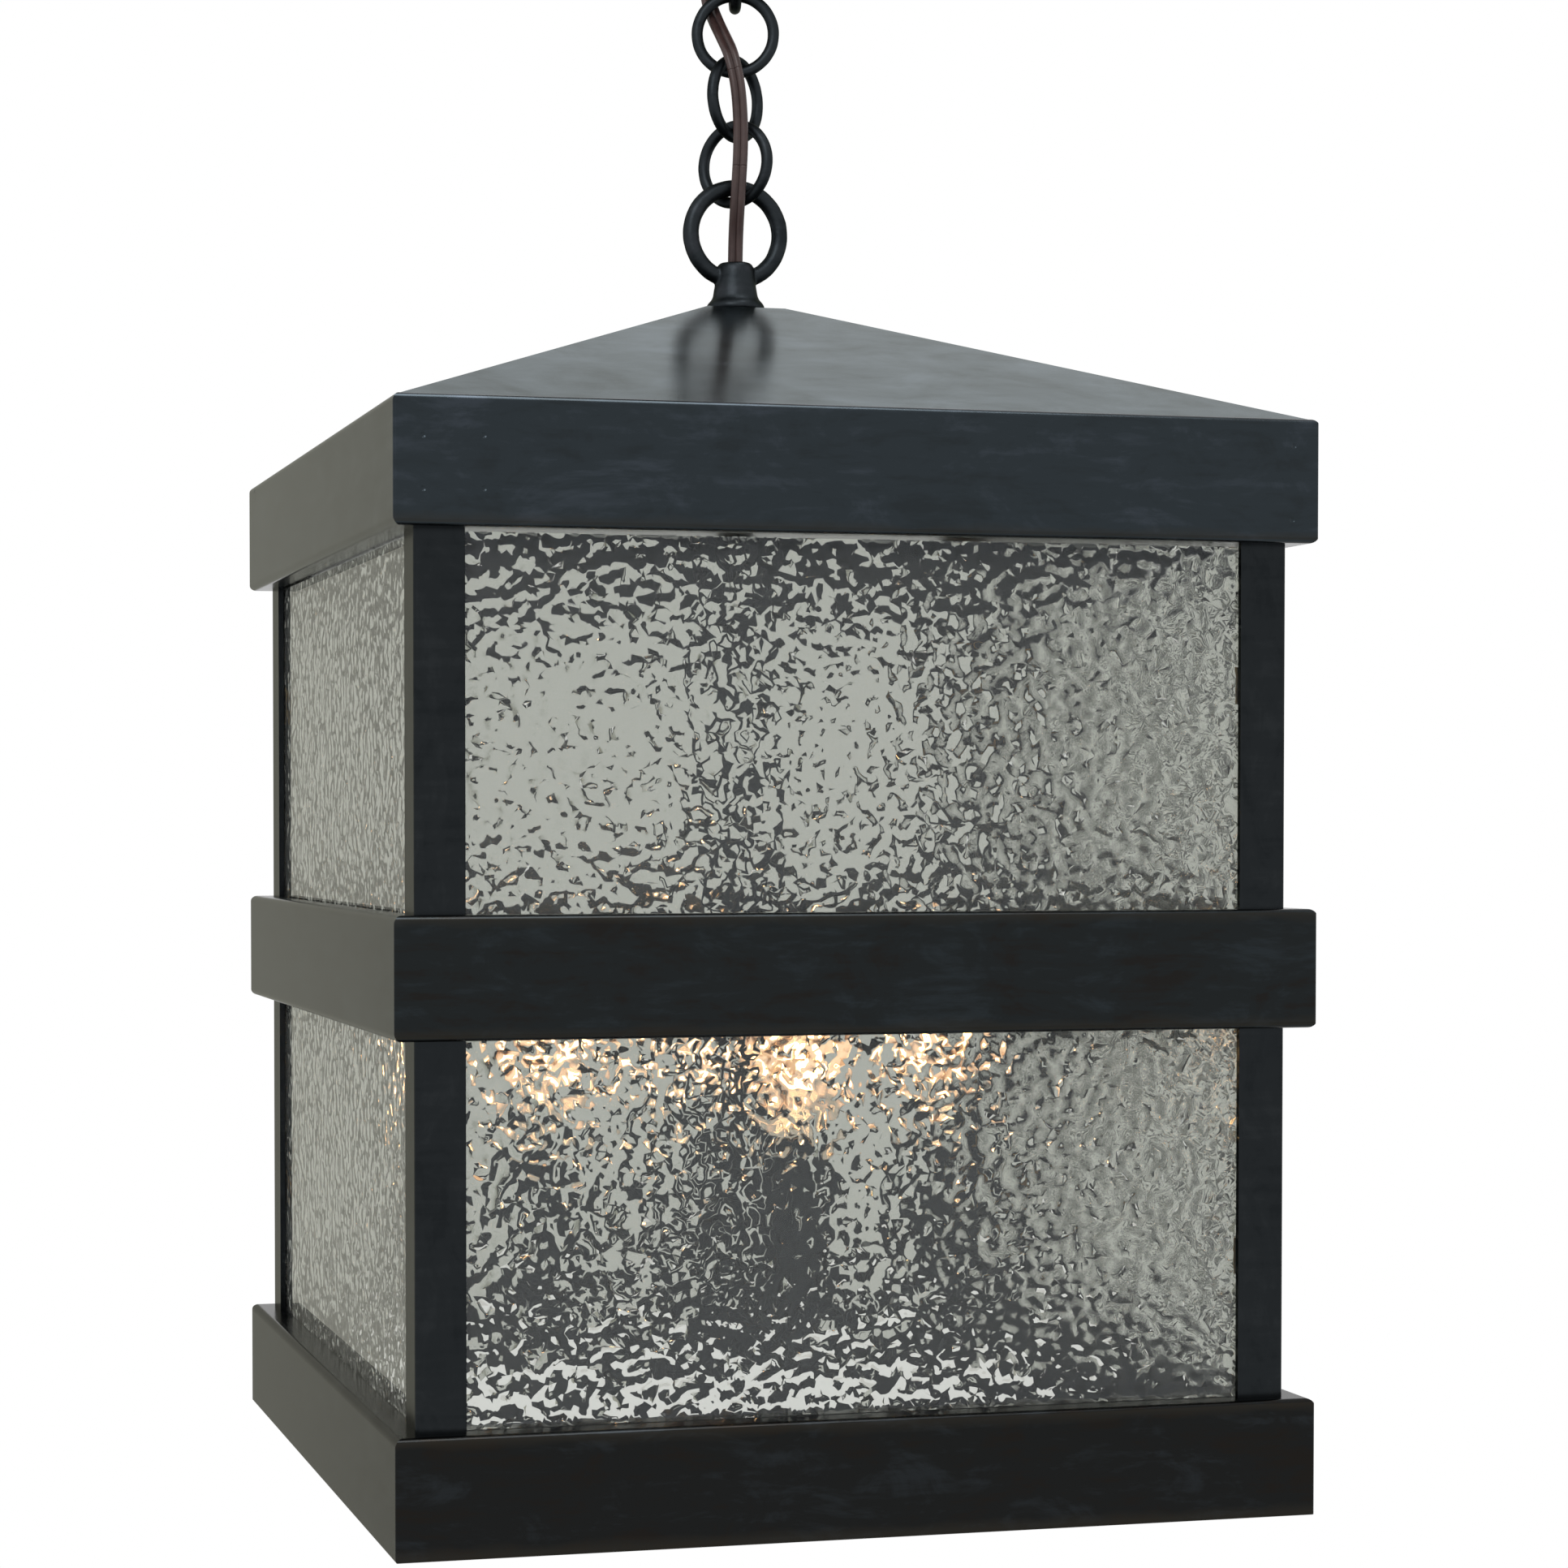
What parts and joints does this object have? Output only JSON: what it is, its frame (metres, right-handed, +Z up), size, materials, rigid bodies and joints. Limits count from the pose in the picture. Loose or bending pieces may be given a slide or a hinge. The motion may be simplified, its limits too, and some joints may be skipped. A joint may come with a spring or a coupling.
{
  "type": "outdoor pendant light",
  "caption": "Square hanging porch lantern with a pyramid roof, folded bands, pebbled glass panes and candle lamps, hung by round chain links from a ceiling canopy.",
  "frame": {"origin": "centre of the canopy's ceiling plane, between the two crossbar slots", "axes": "+Z up into the ceiling, +X along the crossbar and the lantern's right, -Y towards the lantern's front"},
  "size_m": [0.305, 0.305, 0.6018],
  "materials": {
    "bronze": "dark patinated, satin",
    "zinc_steel": "zinc plated",
    "brown_cord": "moulded, flexible",
    "pebbled_glass": "rolled, pebbled",
    "clip_brass": "mill",
    "holder_phenolic": "moulded",
    "lamp_brass": "rolled",
    "lamp_glass": "clear",
    "lamp_wire": "drawn"
  },
  "bodies": {
    "canopy": {"ceiling_crossbar": "zinc_steel", "ground_screw": "zinc_steel", "canopy_nipple": "zinc_steel", "crossbar_nut": "zinc_steel", "ceiling_canopy": "bronze", "canopy_collar": "bronze", "ceiling_loop": "bronze", "lamp_cord_4": "brown_cord"},
    "link_4": {"chain_link_4": "bronze"},
    "link_3": {"chain_link_3": "bronze", "lamp_cord_3": "brown_cord"},
    "link_2": {"chain_link_2": "bronze", "lamp_cord_2": "brown_cord"},
    "link_1": {"chain_link_1": "bronze"},
    "lantern": {"centre_pipe": "zinc_steel", "pipe_lock_nuts": "zinc_steel", "lantern_loop": "bronze", "lamp_cord_1": "brown_cord", "roof_pyramid": "bronze", "cap_band": "bronze", "middle_band": "bronze", "base_band": "bronze", "corner_post_front_left": "bronze", "corner_post_front_right": "bronze", "corner_post_back_right": "bronze", "corner_post_back_left": "bronze", "glass_front": "pebbled_glass", "glass_right": "pebbled_glass", "glass_back": "pebbled_glass", "glass_left": "pebbled_glass", "glass_clips": "clip_brass", "stem_tube": "bronze", "cluster_body": "bronze", "cluster_cap": "bronze", "candle_arm_1": "bronze", "candle_arm_2": "bronze", "candle_arm_3": "bronze", "candle_arm_4": "bronze", "drip_pans": "bronze", "candle_sleeve_1": "bronze", "candle_sleeve_2": "bronze", "candle_sleeve_3": "bronze", "candle_sleeve_4": "bronze", "lamp_holder_1": "holder_phenolic", "lamp_holder_2": "holder_phenolic", "lamp_holder_3": "holder_phenolic", "lamp_holder_4": "holder_phenolic"},
    "lamp_1": {"lamp_base_1": "lamp_brass", "lamp_glass_1": "lamp_glass", "lamp_filament_1": "lamp_wire"},
    "lamp_2": {"lamp_base_2": "lamp_brass", "lamp_glass_2": "lamp_glass", "lamp_filament_2": "lamp_wire"},
    "lamp_3": {"lamp_base_3": "lamp_brass", "lamp_glass_3": "lamp_glass", "lamp_filament_3": "lamp_wire"},
    "lamp_4": {"lamp_base_4": "lamp_brass", "lamp_glass_4": "lamp_glass", "lamp_filament_4": "lamp_wire"}
  },
  "joints": [
    {"name": "chain_4_swing", "type": "hinge", "parent": "canopy", "child": "link_4", "pos_m": [0, 0, -0.0637], "axis": [1, 0, 0], "range_deg": [-15, 15], "deforming": ["lamp_cord_4"]},
    {"name": "chain_3_swing", "type": "hinge", "parent": "link_4", "child": "link_3", "pos_m": [0, 0, -0.0857], "axis": [0.2419, 0.9703, 0], "range_deg": [-15, 15], "deforming": ["lamp_cord_3"]},
    {"name": "chain_2_swing", "type": "hinge", "parent": "link_3", "child": "link_2", "pos_m": [0, 0, -0.1087], "axis": [0.9707, -0.2402, 0], "range_deg": [-15, 15], "deforming": ["lamp_cord_2"]},
    {"name": "chain_1_swing", "type": "hinge", "parent": "link_2", "child": "link_1", "pos_m": [0, 0, -0.1317], "axis": [0.7902, 0.6129, 0], "range_deg": [-15, 15]},
    {"name": "lantern_swing", "type": "hinge", "parent": "link_1", "child": "lantern", "pos_m": [0, 0, -0.1547], "axis": [0.6374, -0.7705, 0], "range_deg": [-15, 15], "deforming": ["lamp_cord_1"]},
    {"name": "lamp_1_lift", "type": "slide", "parent": "lantern", "child": "lamp_1", "axis": [0, 0, 1], "range_m": [0, 0.032]},
    {"name": "lamp_2_lift", "type": "slide", "parent": "lantern", "child": "lamp_2", "axis": [0, 0, 1], "range_m": [0, 0.032]},
    {"name": "lamp_3_lift", "type": "slide", "parent": "lantern", "child": "lamp_3", "axis": [0, 0, 1], "range_m": [0, 0.032]},
    {"name": "lamp_4_lift", "type": "slide", "parent": "lantern", "child": "lamp_4", "axis": [0, 0, 1], "range_m": [0, 0.032]}
  ]
}
